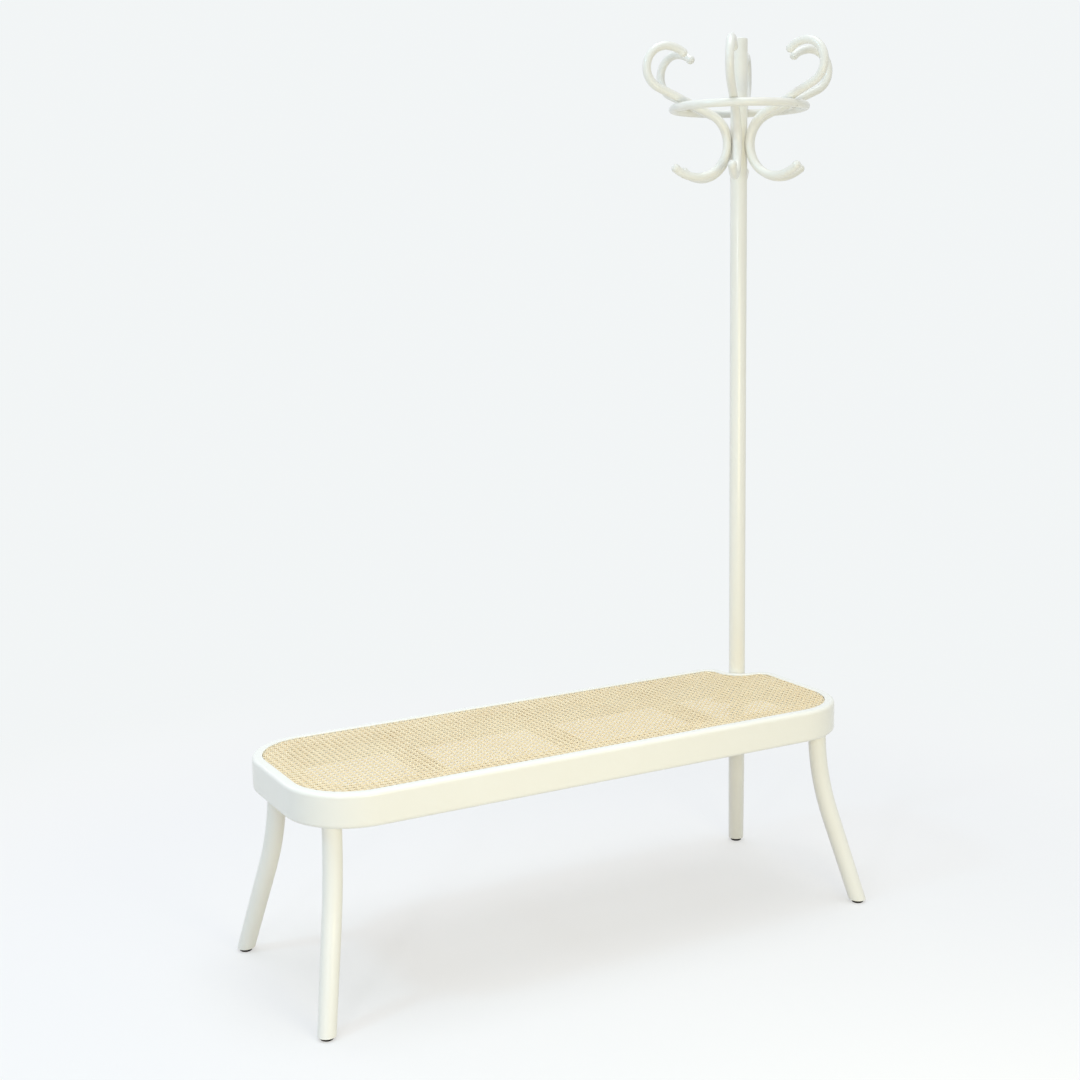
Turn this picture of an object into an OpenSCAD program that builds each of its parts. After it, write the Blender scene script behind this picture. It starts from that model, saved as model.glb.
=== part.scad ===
// Coat rack bench: a bent hoop with a cane seat, on three splayed legs and one tall pole.
// The pole is the fourth leg. It stands in a notch of the hoop at the rear right corner, and
// carries six bent hooks that a ring ties together.
// Millimetres, +Z up, +X along the bench, -Y towards the front. The floor is at z = 0.

/* [Seat hoop] */
// Height of the hoop's top edge above the floor
seat_h = 447; // [420:1:500]
// Outside length of the hoop
rail_l = 1263; // [1000:1:1500]
// Outside width of the hoop
rail_w = 429; // [390:1:480]
// Height of the bent band
rail_h = 67; // [62:1:80]
// Thickness of the bent band
rail_t = 21; // [18:0.5:24]
// Outside radius of the three round corners
corner_r = 136; // [125:1:145]
// Rounding of the band's outer edges
rail_round = 8; // [3:0.5:9]
// Rounding of the band's inner edges
rail_ease = 2; // [1:0.5:4]

/* [Notch for the pole] */
// Outside radius of the two shoulders beside the notch
shoulder_r = 45; // [40:1:50]
// Distance of the pole's axis inside the plain round corner
pole_inset = 33; // [28:1:36]
// Depth that the band beds into the pole
pole_housing = 2; // [1:0.5:3]

/* [Seat panel] */
// Depth of the cane below the hoop's top edge
cane_drop = 2; // [1:0.5:4]
// Thickness of the woven cane
cane_t = 1.6; // [1:0.2:3]
// Width of the panel frame's members
frame_w = 45; // [36:1:55]
// Thickness of the panel frame
frame_t = 16; // [14:1:18]
// Gap between the panel and the hoop
panel_gap = 0.8; // [0.4:0.2:2]
// Distance of the frame's joints inside the centres of the round corners
frame_joint_in = 25; // [15:1:40]
// Number of the cane's openings along the seat
cane_columns = 12; // [6:1:12]
// Number of the cane's openings across the seat
cane_rows = 3; // [2:1:4]
// Width of the cane's strips between its openings
cane_strip = 36; // [15:1:45]

/* [Battens] */
// Width of each cross batten
batten_w = 40; // [34:1:60]
// Thickness of each cross batten
batten_t = 18; // [15:1:20]
// Distance of the outer battens from the middle one
batten_pitch = 320; // [220:1:340]

/* [Legs] */
// Diameter of the three short legs
leg_d = 38; // [34:1:41]
// Depth that the legs bed against the hoop's round corners
leg_housing = 4; // [1:0.5:5]
// Distance below the hoop at which the legs start to bend outwards
bend_drop = 1; // [0:1:40]
// Lean of the straight lower part of the legs
splay = 19; // [17.5:0.5:22]
// Distance of the glides' axes inside the hoop's ends
foot_in = 9.5; // [0:0.5:16]
// Distance of the glides' axes outside the hoop's sides
foot_out = 12.5; // [6:0.5:21]
// Diameter that the legs and the pole taper to at the floor
leg_foot_d = 35.5; // [32:0.5:36.5]
// Radius of the flat end that stands on the glide
leg_flat_r = 13; // [13:0.5:16]
// Height of the rounding between that flat and the leg's side
leg_end_h = 14; // [8:1:18]
// Rounding of the short legs' top edge
leg_top_round = 1; // [0.5:0.5:3]

/* [Glides] */
// Diameter of each glide
glide_d = 25; // [20:0.5:26]
// Thickness of each glide
glide_h = 5; // [4:0.5:8]
// Bevel round the bottom edge of each glide
glide_bevel = 1.2; // [0.5:0.1:2]
// Diameter of the glide's nail
nail_d = 3; // [2:0.2:4]
// Length of the nail in the leg
nail_in = 16; // [10:1:22]
// Diameter of the nail's head
nail_head_d = 7; // [5:0.5:9]
// Height of the nail's head
nail_head_h = 1.2; // [0.8:0.1:1.5]
// Depth of the recess for the nail's head in the glide's bottom
nail_sink = 2; // [1.6:0.2:3]

/* [Rack pole] */
// Height of the pole's top
pole_h = 1872; // [1850:1:2000]
// Diameter of the pole
pole_d = 37; // [34:1:40]
// Rounding of the pole's top edge
pole_round = 3; // [1:0.5:6]

/* [Hooks] */
// Direction of the first hook, from +X towards +Y
hook_turn = 49; // [0:1:59]
// Diameter of the hooks' rod
hook_d = 19; // [16:0.5:20]
// Distance of the point where the hooks touch the pole below its top
hook_drop = 226; // [212:1:372]
// Centreline radius of the large bend that touches the pole
hook_bend_r = 71; // [65:1:76]
// Centreline radius of the lower tip's flatter bend
low_tip_r = 80; // [76:1:90]
// Turn of the lower tip's bend
low_tip_turn = 40; // [30:1:50]
// Centreline radius of the upper curl
curl_r = 46; // [42:1:48]
// Distance of the upper curl's centre from the pole's axis
curl_out = 172; // [165:1:185]
// Height of the upper curl's centre above the point where the hooks touch
curl_up = 161; // [150:1:170]
// Centreline radius of the upper tip's flatter bend
top_tip_r = 60; // [50:1:66]
// Turn of the upper tip's bend
top_tip_turn = 40; // [30:1:50]
// Swelling of the rod's round ends over its sides
tip_swell = 0.6; // [0.3:0.1:1.5]

/* [Ring] */
// Centreline radius of the ring that ties the hooks
ring_r = 145.5; // [130:0.5:150]
// Diameter of the ring's rod
ring_d = 18; // [14:0.5:20]

/* [Blocks] */
// Height of the blocks' underside above the hoop's lower edge
block_rise = 6; // [3:1:8]
// Distance of the blocks' inner face from the round corner's centre
block_in = 62; // [56:1:66]
// Width of the corner blocks
block_w = 150; // [140:1:158]
// Thickness of the pole's block behind the notch
pole_block_t = 32; // [26:1:40]
// Width of the pole's block
pole_block_w = 84; // [78:1:86]
// Length of the pole block's side wings past the notch's deepest line
pole_block_wing = 13; // [8:1:14]

/* [Fasteners] */
// Diameter of the bolts in the legs and the pole
bolt_d = 8; // [6:1:8]
// Distance of the bolts above and below the middle of the blocks
bolt_half_pitch = 10; // [9.5:0.5:11]
// Size of the bolts' heads across corners
bolt_head_d = 14.4; // [12:0.2:15]
// Height of the bolts' heads
bolt_head_h = 5.3; // [4:0.1:6]
// Diameter of the washers
washer_d = 17; // [16:0.5:18]
// Thickness of the washers
washer_t = 1.6; // [1:0.1:2]
// Depth of the leg bolts past the leg's axis
leg_bolt_past = 8; // [4:1:10]
// Outside diameter of the threaded inserts in the pole
insert_d = 12; // [11:0.5:13]
// Length of the threaded inserts
insert_l = 14; // [10:1:15]
// Shank diameter of the wood screws
screw_d = 4.5; // [3.5:0.1:5]
// Head diameter of the wood screws
screw_head_d = 8.4; // [7:0.1:9]
// Height of the screws' conical heads
screw_head_h = 2.6; // [2:0.1:3]
// Depth that the block screws bite into the hoop
block_bite = 12; // [8:1:14]
// Distance of the block screws from the middle of a corner block
block_screw_out = 56; // [50:1:60]
// Distance of the block screws from the middle of the pole's block
pole_screw_out = 30; // [27:1:34]
// Depth that the panel screws bite into the panel frame
panel_bite = 10; // [6:1:12]
// Depth that the hook screws bite into the pole
hook_bite = 12; // [9:1:12]
// Depth of the hook screws' heads below the rod's surface
hook_sink = 4; // [3:0.5:6]
// Depth that the ring screws bite into the hooks
ring_bite = 11; // [7:1:13]
// Depth of the ring screws' heads below the ring's surface
ring_sink = 1; // [0.5:0.5:3]
// Diameter of the batten dowels
dowel_d = 10; // [8:1:12]
// Length of the batten dowels
dowel_l = 32; // [26:1:40]
// Depth of the batten dowels in the hoop
dowel_in = 11; // [8:1:14]
// Distance of the batten dowels from the middle of a batten
dowel_half = 10; // [8:0.5:12]
// Diameter of the panel frame's dowels
frame_dowel_d = 8; // [6:1:10]
// Length of the panel frame's dowels
frame_dowel_l = 40; // [30:1:50]
// Distance of the frame's dowels from the middle of a member
frame_dowel_half = 11; // [9:0.5:12]

/* [Fits] */
// Clearance between wooden pieces that bear on each other
wood_fit = 0.2; // [0.1:0.05:0.4]
// Clearance round shanks, dowels and nails in their holes
hole_fit = 0.05; // [0.02:0.01:0.1]

/* [Hidden] */
$fn = 96;
white = "#f2f0e4";
wood = "#d9b98a";
cane = "#e6cf9f";
dark = "#2a211d";
steel = "#9aa0a6";
brass = "#c8a24a";

// A cut runs this far past the faces that it opens.
past = 1;
// A bar thins this much, all round, where it is bent.
bend_thin = 0.1;
// The straight stretches of a bar lap over its bends.
lap = 2;
// The round corners and the notch are laid out on their diagonals.
diagonal = 45;
along = [cos(diagonal), sin(diagonal)];
// A point of an outline's arc comes every few degrees.
arc_step = 3;
function round_to(value, step) = round(value / step) * step;
// Centres and radii of the hoop fall on this fraction of a millimetre, so its stretches meet exactly.
meet_step = 1 / 16;

// Levels
rail_bottom = seat_h - rail_h;
cane_bottom = seat_h - cane_drop - cane_t;
frame_bottom = cane_bottom - frame_t;
batten_bottom = frame_bottom - batten_t;
block_bottom = rail_bottom + block_rise;
block_h = frame_bottom - block_bottom;
block_mid = block_bottom + block_h / 2;
bolt_levels = [block_mid - bolt_half_pitch, block_mid + bolt_half_pitch];

// Plan of the hoop, with its centre at the origin
half_l = round_to(rail_l / 2, meet_step);
half_w = round_to(rail_w / 2, meet_step);
corner = [half_l - corner_r, half_w - corner_r];
pole_out = corner_r - pole_inset;
notch_face = pole_out - pole_d / 2 + pole_housing;
// Each shoulder turns a quarter, and the notch turns back a quarter between them.
notch = [half_l - shoulder_r, half_w - shoulder_r];
notch_out = (corner_r - shoulder_r) / cos(diagonal);
notch_r = round_to(notch_out - notch_face, meet_step);
back_shoulder = [notch.x - notch_r - shoulder_r, notch.y];
end_shoulder = [notch.x, notch.y - notch_r - shoulder_r];
pole_at = corner + pole_out * along;

// Legs: a vertical top, a round bend and a straight lower part that ends on the glide
leg_out = corner_r - rail_t - leg_d / 2 + leg_housing;
leg_at = corner + leg_out * along;
foot = [half_l - foot_in, half_w + foot_out];
bend_top = rail_bottom - bend_drop;
function spread(top) = norm(foot - top);
function bend_end(top) =
    (spread(top) + glide_h * tan(splay) - bend_top * tan(splay / 2)) / (tan(splay) - tan(splay / 2));
function bend_radius(top) = (bend_top - bend_end(top)) / sin(splay);
function heading(top) = atan2(foot.y - top.y, foot.x - top.x);

// Hooks, drawn in their own plane, where x is the distance from the pole's axis and y the height
// above the point where the hook touches the pole
hook_seat_z = pole_h - hook_drop;
hook_in = pole_d / 2 + hook_d / 2 + wood_fit;
low_centre = [hook_in + hook_bend_r, 0];
curl_centre = [curl_out, curl_up];
centres = curl_centre - low_centre;
arm_angle = round_to(atan2(centres.y, centres.x) - asin((hook_bend_r + curl_r) / norm(centres)), 0.001);
arm_up = [-sin(arm_angle), cos(arm_angle)];
arm_start = low_centre + hook_bend_r * arm_up;
arm_end = curl_centre - curl_r * arm_up;
low_tip_centre = low_centre + [0, low_tip_r - hook_bend_r];
top_tip_centre = curl_centre - [0, top_tip_r - curl_r];
down = 270;
up = 90;

// The ring lies under the hooks' straight arms.
ring_drop = hook_d / 2 + ring_d / 2 + wood_fit;
ring_meets_x = ring_r + ring_drop * arm_up.x;
ring_y = arm_start.y + (ring_meets_x - arm_start.x) * tan(arm_angle) - ring_drop * arm_up.y;

// The hooks stand evenly round the pole.
hook_count = 6;
hook_numbers = [0:hook_count - 1];
hook_turns = [for (k = hook_numbers) hook_turn + k * 360 / hook_count];

// The part's origin is the middle of the floor that it covers.
hook_reach = curl_out + curl_r;
far_x = pole_at.x + hook_reach * max([for (t = hook_turns) cos(t)]) + hook_d / 2;
far_y = pole_at.y + hook_reach * max([for (t = hook_turns) sin(t)]) + hook_d / 2;
lean = heading(leg_at);
foot_reach_x = norm([cos(lean) / cos(splay), sin(lean)]) * leg_foot_d / 2;
foot_reach_y = norm([sin(lean) / cos(splay), cos(lean)]) * leg_foot_d / 2;
near_x = -max(half_l, foot.x + foot_reach_x);
near_y = -max(half_w, foot.y + foot_reach_y);
origin = [round((far_x + near_x) / 2), round((far_y + near_y) / 2)];

module placed() {
    translate([-origin.x, -origin.y, 0]) children();
}

// Puts children at a round corner, with +X pointing out along its diagonal.
module at_corner(side) {
    mirror([side.x < 0 ? 1 : 0, 0]) mirror([0, side.y < 0 ? 1 : 0])
        translate([corner.x, corner.y]) rotate(diagonal) children();
}

// Lays what is drawn along +Z on a corner's diagonal, pointing out.
module pointing_out(start, aside, z) {
    translate([start, aside, z]) rotate([0, 90, 0]) children();
}

front_left = [-1, -1];
front_right = [1, -1];
rear_left = [-1, 1];
rear_right = [1, 1];
leg_sides = [front_left, front_right, rear_left];

// Wood screw along +Z, with its head's flat face at z = 0
module screw(l) {
    cylinder(h = screw_head_h, d1 = screw_head_d, d2 = screw_d);
    translate([0, 0, screw_head_h]) cylinder(h = l - screw_head_h, d = screw_d);
}

// Hole for such a screw, open towards -Z over the given depth
module screw_hole(l, open) {
    translate([0, 0, -open]) cylinder(h = open, d = screw_head_d + 2 * hole_fit);
    cylinder(h = screw_head_h, d1 = screw_head_d + 2 * hole_fit, d2 = screw_d + 2 * hole_fit);
    translate([0, 0, screw_head_h]) cylinder(h = l - screw_head_h + hole_fit, d = screw_d + 2 * hole_fit);
}

// Round bar along +Z whose far end is rounded
module rounded_bar(l, d, r) {
    rotate_extrude() {
        square([d / 2 - r, l]);
        square([d / 2, l - r]);
        translate([d / 2 - r, l - r]) circle(r);
    }
}

// Seat hoop

// Section of the band: its outer face lies at x = 0
module band_profile() {
    translate([-rail_t, rail_ease]) square([rail_t - rail_round, rail_h - 2 * rail_ease]);
    translate([-rail_t + rail_ease, 0]) square([rail_t - rail_ease - rail_round, rail_h]);
    translate([-rail_round - past, rail_round]) square([rail_round + past, rail_h - 2 * rail_round]);
    for (y = [rail_round, rail_h - rail_round]) translate([-rail_round, y]) circle(rail_round);
    for (y = [rail_ease, rail_h - rail_ease]) translate([rail_ease - rail_t, y]) circle(rail_ease);
}

// Round stretch of the band. Its outer face has radius r, and faces the centre where it bends in.
module band_bend(centre, r, from, to, bends_in = false) {
    translate([centre.x, centre.y, rail_bottom]) rotate(from) rotate_extrude(angle = to - from)
        translate([r, 0]) mirror([bends_in ? 1 : 0, 0]) band_profile();
}

// Straight stretch of the band. Its outer face is to the right of the direction that it runs in.
module band_run(start, direction, l) {
    translate([start.x, start.y, rail_bottom]) rotate(direction) rotate([90, 0, 90])
        linear_extrude(l) mirror([1, 0]) band_profile();
}

module band() {
    band_run([-corner.x, -half_w], 0, 2 * corner.x);
    band_bend([corner.x, -corner.y], corner_r, -90, 0);
    band_run([half_l, -corner.y], 90, corner.y + end_shoulder.y);
    band_bend(end_shoulder, shoulder_r, 0, 90);
    band_bend(notch, notch_r, 180, 270, bends_in = true);
    band_bend(back_shoulder, shoulder_r, 0, 90);
    band_run([back_shoulder.x, half_w], 180, back_shoulder.x + corner.x);
    band_bend([-corner.x, corner.y], corner_r, 90, 180);
    band_run([-half_l, corner.y], -90, 2 * corner.y);
    band_bend([-corner.x, -corner.y], corner_r, 180, 270);
}

module seat_rail() {
    color(white) placed() difference() {
        band();
        batten_dowel_places() cylinder(h = dowel_l + hole_fit, d = dowel_d + 2 * hole_fit);
        block_screw_places() screw_hole(block_screw_l, 0);
        pole_block_screw_places() screw_hole(pole_screw_l, 0);
        pole_bolt_places() cylinder(h = pole_bolt_l + past, d = bolt_d + 2 * hole_fit);
    }
}
seat_rail();

// Seat panel: a frame of two sides and two ends, doweled together, under a woven cane sheet

function arc(centre, r, from, to) =
    let (n = abs(to - from) / arc_step)
    [for (k = [0:n]) let (a = from + (to - from) * k / n) [centre.x + r * cos(a), centre.y + r * sin(a)]];

// The hoop's outline, a distance inside its outer face
function outline(inset) = concat(
    arc([corner.x, -corner.y], corner_r - inset, -90, 0),
    arc(end_shoulder, shoulder_r - inset, 0, 90),
    arc(notch, notch_r + inset, 270, 180),
    arc(back_shoulder, shoulder_r - inset, 0, 90),
    arc([-corner.x, corner.y], corner_r - inset, 90, 180),
    arc([-corner.x, -corner.y], corner_r - inset, 180, 270));

panel_in = rail_t + panel_gap;
opening_in = panel_in + frame_w;
frame_joint_x = corner.x - frame_joint_in;
side_mid_y = half_w - panel_in - frame_w / 2;

// The frame's opening keeps clear of the notch by a full member's width.
module frame_plan() {
    difference() {
        polygon(outline(panel_in));
        difference() {
            polygon([for (side = [[1, 1], [-1, 1], [-1, -1], [1, -1]])
                each [for (p = arc([0, 0], corner_r - opening_in, 0, 90))
                    [side.x * corner.x, side.y * corner.y] + turned(p, side)]]);
            polygon(arc(notch, notch_r + opening_in, 0, 360 - arc_step));
        }
    }
}

// An arc's point in the quadrant of a corner, with all corners in one turning order
function turned(p, side) = side.x * side.y > 0 ? [side.x * p.x, side.y * p.y] : [side.x * p.y, side.y * p.x];

module frame_member(x, y, l, w) {
    translate([0, 0, frame_bottom]) linear_extrude(frame_t) intersection() {
        frame_plan();
        translate([x, y]) square([l, w]);
    }
}

module frame_dowel_places() {
    for (x = [-1, 1], y = [-1, 1], half = [-1, 1])
        translate([x * frame_joint_x - frame_dowel_l / 2, y * side_mid_y + half * frame_dowel_half,
                   frame_bottom + frame_t / 2])
            rotate([0, 90, 0]) children();
}

module frame_dowel_holes() {
    frame_dowel_places() translate([0, 0, -hole_fit])
        cylinder(h = frame_dowel_l + 2 * hole_fit, d = frame_dowel_d + 2 * hole_fit);
}

module panel_side(y) {
    color(wood) placed() difference() {
        frame_member(-frame_joint_x, y, 2 * frame_joint_x, half_w);
        frame_dowel_holes();
        panel_screw_places() screw_hole(panel_screw_l, 0);
    }
}

module panel_end(x) {
    color(wood) placed() difference() {
        frame_member(x, -half_w, half_l - frame_joint_x, rail_w);
        frame_dowel_holes();
    }
}
panel_side_front();
panel_side_rear();
panel_end_left();
panel_end_right();

module panel_side_front() {
    panel_side(-half_w);
}
module panel_side_rear() {
    panel_side(0);
}
module panel_end_left() {
    panel_end(-half_l);
}
module panel_end_right() {
    panel_end(frame_joint_x);
}

module frame_dowels() {
    color(wood) placed() frame_dowel_places() cylinder(h = frame_dowel_l, d = frame_dowel_d);
}
frame_dowels();

// The weave's small holes are drawn as a grid of larger ones over the frame's opening.
cane_cell = [2 * (half_l - opening_in) / cane_columns, 2 * (half_w - opening_in) / cane_rows];
cane_hole = [cane_cell.x - cane_strip, cane_cell.y - cane_strip];
cane_hole_across = (cane_hole.x + cane_hole.y) / 2;

// Places of the openings, without those that would reach the frame's member at the notch
function grid_steps(count) = [for (k = [0:count - 1]) k - (count - 1) / 2];
cane_hole_places = [
    for (x = grid_steps(cane_columns) * cane_cell.x, y = grid_steps(cane_rows) * cane_cell.y)
        if (norm([x, y] - notch) > notch_r + opening_in + cane_hole_across / 2) [x, y]];

module cane_opening() {
    intersection() {
        square(cane_hole, center = true);
        rotate(diagonal) square(cane_hole_across, center = true);
    }
}

module cane_sheet() {
    color(cane) placed() translate([0, 0, cane_bottom]) linear_extrude(cane_t) difference() {
        polygon(outline(panel_in));
        for (place = cane_hole_places) translate(place) cane_opening();
    }
}
cane_sheet();

// Battens, doweled across the hoop under the panel

batten_l = rail_w - 2 * rail_t - 2 * wood_fit;
panel_screw_l = batten_t + panel_bite;

module batten_dowel_places() {
    for (k = [-1, 0, 1], y = [-1, 1], half = [-1, 1])
        translate([k * batten_pitch + half * dowel_half, y * (half_w - rail_t + dowel_in),
                   batten_bottom + batten_t / 2])
            rotate([y * 90, 0, 0]) children();
}

module panel_screw_places() {
    for (k = [-1, 0, 1], y = [-1, 1])
        translate([k * batten_pitch, y * side_mid_y, batten_bottom]) children();
}

module batten(k) {
    color(wood) placed() difference() {
        translate([k * batten_pitch - batten_w / 2, -batten_l / 2, batten_bottom])
            cube([batten_w, batten_l, batten_t]);
        batten_dowel_places() cylinder(h = dowel_l + hole_fit, d = dowel_d + 2 * hole_fit);
        panel_screw_places() screw_hole(panel_screw_l, past);
    }
}
module batten_left() {
    batten(-1);
}
module batten_middle() {
    batten(0);
}
module batten_right() {
    batten(1);
}
batten_left();
batten_middle();
batten_right();

module batten_dowels() {
    color(wood) placed() batten_dowel_places() cylinder(h = dowel_l, d = dowel_d);
}
batten_dowels();

module panel_screws() {
    color(brass) placed() panel_screw_places() screw(panel_screw_l);
}
panel_screws();

// Corner blocks: each fills a round corner behind its leg

band_in = corner_r - rail_t;
block_screw_l = sqrt(pow(band_in, 2) - pow(block_screw_out, 2)) + block_bite - block_in;
leg_bolt_l = leg_out + leg_bolt_past - block_in + washer_t;

module block_screw_places() {
    for (side = leg_sides, aside = [-1, 1])
        at_corner(side) pointing_out(block_in, aside * block_screw_out, block_mid) children();
}

// The bolts start under their heads, at the washers' inner faces.
module leg_bolt_places() {
    for (side = leg_sides, z = bolt_levels)
        at_corner(side) pointing_out(block_in - washer_t, 0, z) children();
}

module corner_block(side) {
    color(wood) placed() difference() {
        at_corner(side) intersection() {
            translate([block_in, -block_w / 2, block_bottom]) cube([corner_r, block_w, block_h]);
            translate([0, 0, block_bottom - past]) cylinder(h = block_h + 2 * past, r = band_in - wood_fit);
        }
        at_corner(side) translate([leg_out, 0, block_bottom - past])
            cylinder(h = block_h + 2 * past, d = leg_d + 2 * wood_fit);
        block_screw_places() screw_hole(block_screw_l, past);
        leg_bolt_places() cylinder(h = leg_bolt_l, d = bolt_d + 2 * hole_fit);
    }
}
module corner_block_front_left() {
    corner_block(front_left);
}
module corner_block_front_right() {
    corner_block(front_right);
}
module corner_block_rear_left() {
    corner_block(rear_left);
}
corner_block_front_left();
corner_block_front_right();
corner_block_rear_left();

// Pole block: it backs the notch, and the pole's bolts pass through it and through the band

pole_block_x = notch_face - rail_t - wood_fit - pole_block_t;
notch_in = notch_r + rail_t;
pole_screw_l = notch_out - sqrt(pow(notch_in, 2) - pow(pole_screw_out, 2)) + block_bite - pole_block_x;
pole_bolt_l = notch_face + wood_fit + insert_l - pole_block_x + washer_t;

module pole_block_screw_places() {
    for (aside = [-1, 1])
        at_corner(rear_right) pointing_out(pole_block_x, aside * pole_screw_out, block_mid) children();
}

module pole_bolt_places() {
    for (z = bolt_levels) at_corner(rear_right) pointing_out(pole_block_x - washer_t, 0, z) children();
}

module pole_block() {
    color(wood) placed() difference() {
        at_corner(rear_right) difference() {
            translate([pole_block_x, -pole_block_w / 2, block_bottom])
                cube([pole_block_t + pole_block_wing, pole_block_w, block_h]);
            translate([notch_out, 0, block_bottom - past])
                cylinder(h = block_h + 2 * past, r = notch_in + wood_fit);
        }
        pole_block_screw_places() screw_hole(pole_screw_l, past);
        pole_bolt_places() cylinder(h = pole_bolt_l, d = bolt_d + 2 * hole_fit);
    }
}
pole_block();

module block_screws() {
    color(brass) placed() {
        block_screw_places() screw(block_screw_l);
        pole_block_screw_places() screw(pole_screw_l);
    }
}
block_screws();

// Legs

// Bar that stands at a place of the plan, bends outwards below the hoop and ends on its glide
module sabre(top, d, top_z, top_round) {
    r = bend_radius(top);
    straight_l = bend_end(top) / cos(splay);
    translate([top.x, top.y, 0]) rotate(heading(top)) difference() {
        union() {
            translate([0, 0, bend_top - lap]) rounded_bar(top_z - bend_top + lap, d, top_round);
            translate([r, 0, bend_top]) rotate([90, 0, 0])
                rotate_extrude(start = 180, angle = splay) translate([r, 0])
                    circle(d = d - 2 * bend_thin);
            translate([r * (1 - cos(splay)), 0, bend_end(top)]) rotate([0, 180 - splay, 0])
                translate([0, 0, -lap]) cylinder(h = straight_l + lap, d1 = d, d2 = leg_foot_d);
        }
        translate([spread(top), 0, 0]) rotate_extrude() foot_cut();
        translate([spread(top), 0, glide_h - past])
            cylinder(h = nail_in + past + hole_fit, d = nail_d + 2 * hole_fit);
    }
}

// What is cut off round a leg's flat end, to be turned about the glide's axis
module foot_cut() {
    step = leg_foot_d / 2 / cos(splay) + leg_end_h * tan(splay) + past - leg_flat_r;
    round_r = (pow(step, 2) + pow(leg_end_h, 2)) / (2 * step);
    round_x = leg_flat_r + step - round_r;
    difference() {
        translate([0, -leg_d]) square([2 * leg_d, leg_d + glide_h + leg_end_h]);
        translate([0, glide_h]) square([round_x, leg_end_h + past]);
        intersection() {
            translate([round_x, glide_h + leg_end_h]) circle(round_r);
            translate([0, glide_h]) square([2 * leg_d, leg_end_h + past]);
        }
    }
}

// The three short legs stand inside the round corners, their tops under the seat panel.
module leg(side) {
    color(white) placed() mirror([side.x < 0 ? 1 : 0, 0]) mirror([0, side.y < 0 ? 1 : 0]) difference() {
        sabre(leg_at, leg_d, frame_bottom - wood_fit, leg_top_round);
        translate([corner.x, corner.y, rail_bottom - wood_fit]) difference() {
            cylinder(h = rail_h, r = corner_r);
            translate([0, 0, -past]) cylinder(h = rail_h + 2 * past, r = band_in - wood_fit);
        }
        translate([corner.x, corner.y]) rotate(diagonal) for (z = bolt_levels)
            pointing_out(leg_out - leg_d, 0, z)
                cylinder(h = leg_d + leg_bolt_past + hole_fit, d = bolt_d + 2 * hole_fit);
    }
}
module leg_front_left() {
    leg(front_left);
}
module leg_front_right() {
    leg(front_right);
}
module leg_rear_left() {
    leg(rear_left);
}
leg_front_left();
leg_front_right();
leg_rear_left();

// Bolt along +Z with a hexagonal head below z = 0
module bolt(l) {
    cylinder(h = l, d = bolt_d);
    translate([0, 0, -bolt_head_h]) cylinder(h = bolt_head_h, d = bolt_head_d, $fn = 6);
}

module leg_bolts() {
    color(steel) placed() leg_bolt_places() bolt(leg_bolt_l);
}
leg_bolts();

// Rack pole: the fourth leg, which runs on up to the hooks

module rack_pole() {
    color(white) placed() difference() {
        sabre(pole_at, pole_d, pole_h, pole_round);
        // Housing for the notch's round band
        translate([notch.x, notch.y, rail_bottom - wood_fit]) difference() {
            cylinder(h = rail_h + 2 * wood_fit, r = notch_in);
            translate([0, 0, -past]) cylinder(h = rail_h + 2 * past, r = notch_r - wood_fit);
        }
        at_corner(rear_right) for (z = bolt_levels) pointing_out(notch_face - past, 0, z)
            cylinder(h = insert_l + past + wood_fit + hole_fit, d = insert_d + 2 * hole_fit);
        hook_screw_places() screw_hole(hook_screw_l, 0);
    }
}
rack_pole();

module pole_bolts() {
    color(steel) placed() pole_bolt_places() bolt(pole_bolt_l);
}
pole_bolts();

module pole_inserts() {
    color(brass) placed() at_corner(rear_right) for (z = bolt_levels)
        pointing_out(notch_face + wood_fit, 0, z) difference() {
            cylinder(h = insert_l, d = insert_d);
            translate([0, 0, -past]) cylinder(h = insert_l + 2 * past, d = bolt_d + 2 * hole_fit);
        }
}
pole_inserts();

module bolt_washers() {
    color(steel) placed() {
        leg_bolt_places() washer();
        pole_bolt_places() washer();
    }
}
bolt_washers();

module washer() {
    difference() {
        cylinder(h = washer_t, d = washer_d);
        translate([0, 0, -past]) cylinder(h = washer_t + 2 * past, d = bolt_d + 2 * hole_fit);
    }
}

// Glides, each nailed under its leg

module glide(side) {
    color(dark) placed() translate([side.x * foot.x, side.y * foot.y]) difference() {
        union() {
            cylinder(h = glide_bevel, d1 = glide_d - 2 * glide_bevel, d2 = glide_d);
            translate([0, 0, glide_bevel]) cylinder(h = glide_h - glide_bevel, d = glide_d);
        }
        translate([0, 0, -past]) cylinder(h = nail_sink + past, d = nail_head_d + 2 * hole_fit);
        cylinder(h = glide_h + past, d = nail_d + 2 * hole_fit);
    }
}
module glide_front_left() {
    glide(front_left);
}
module glide_front_right() {
    glide(front_right);
}
module glide_rear_left() {
    glide(rear_left);
}
module glide_rear_right() {
    glide(rear_right);
}
glide_front_left();
glide_front_right();
glide_rear_left();
glide_rear_right();

module glide_nails() {
    color(steel) placed() for (side = concat(leg_sides, [rear_right]))
        translate([side.x * foot.x, side.y * foot.y, nail_sink - nail_head_h]) {
            cylinder(h = nail_head_h, d = nail_head_d);
            cylinder(h = glide_h + nail_in - nail_sink + nail_head_h, d = nail_d);
        }
}
glide_nails();

// Coat hooks

hook_screw_l = hook_in + hook_d / 2 - hook_sink - pole_d / 2 + hook_bite;
ring_screw_l = ring_d - ring_sink + wood_fit + ring_bite;

// Puts children in the plane of a hook, at the height where the hooks touch the pole.
module hook_place(k) {
    translate([pole_at.x, pole_at.y, hook_seat_z]) rotate(hook_turns[k]) children();
}

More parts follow.
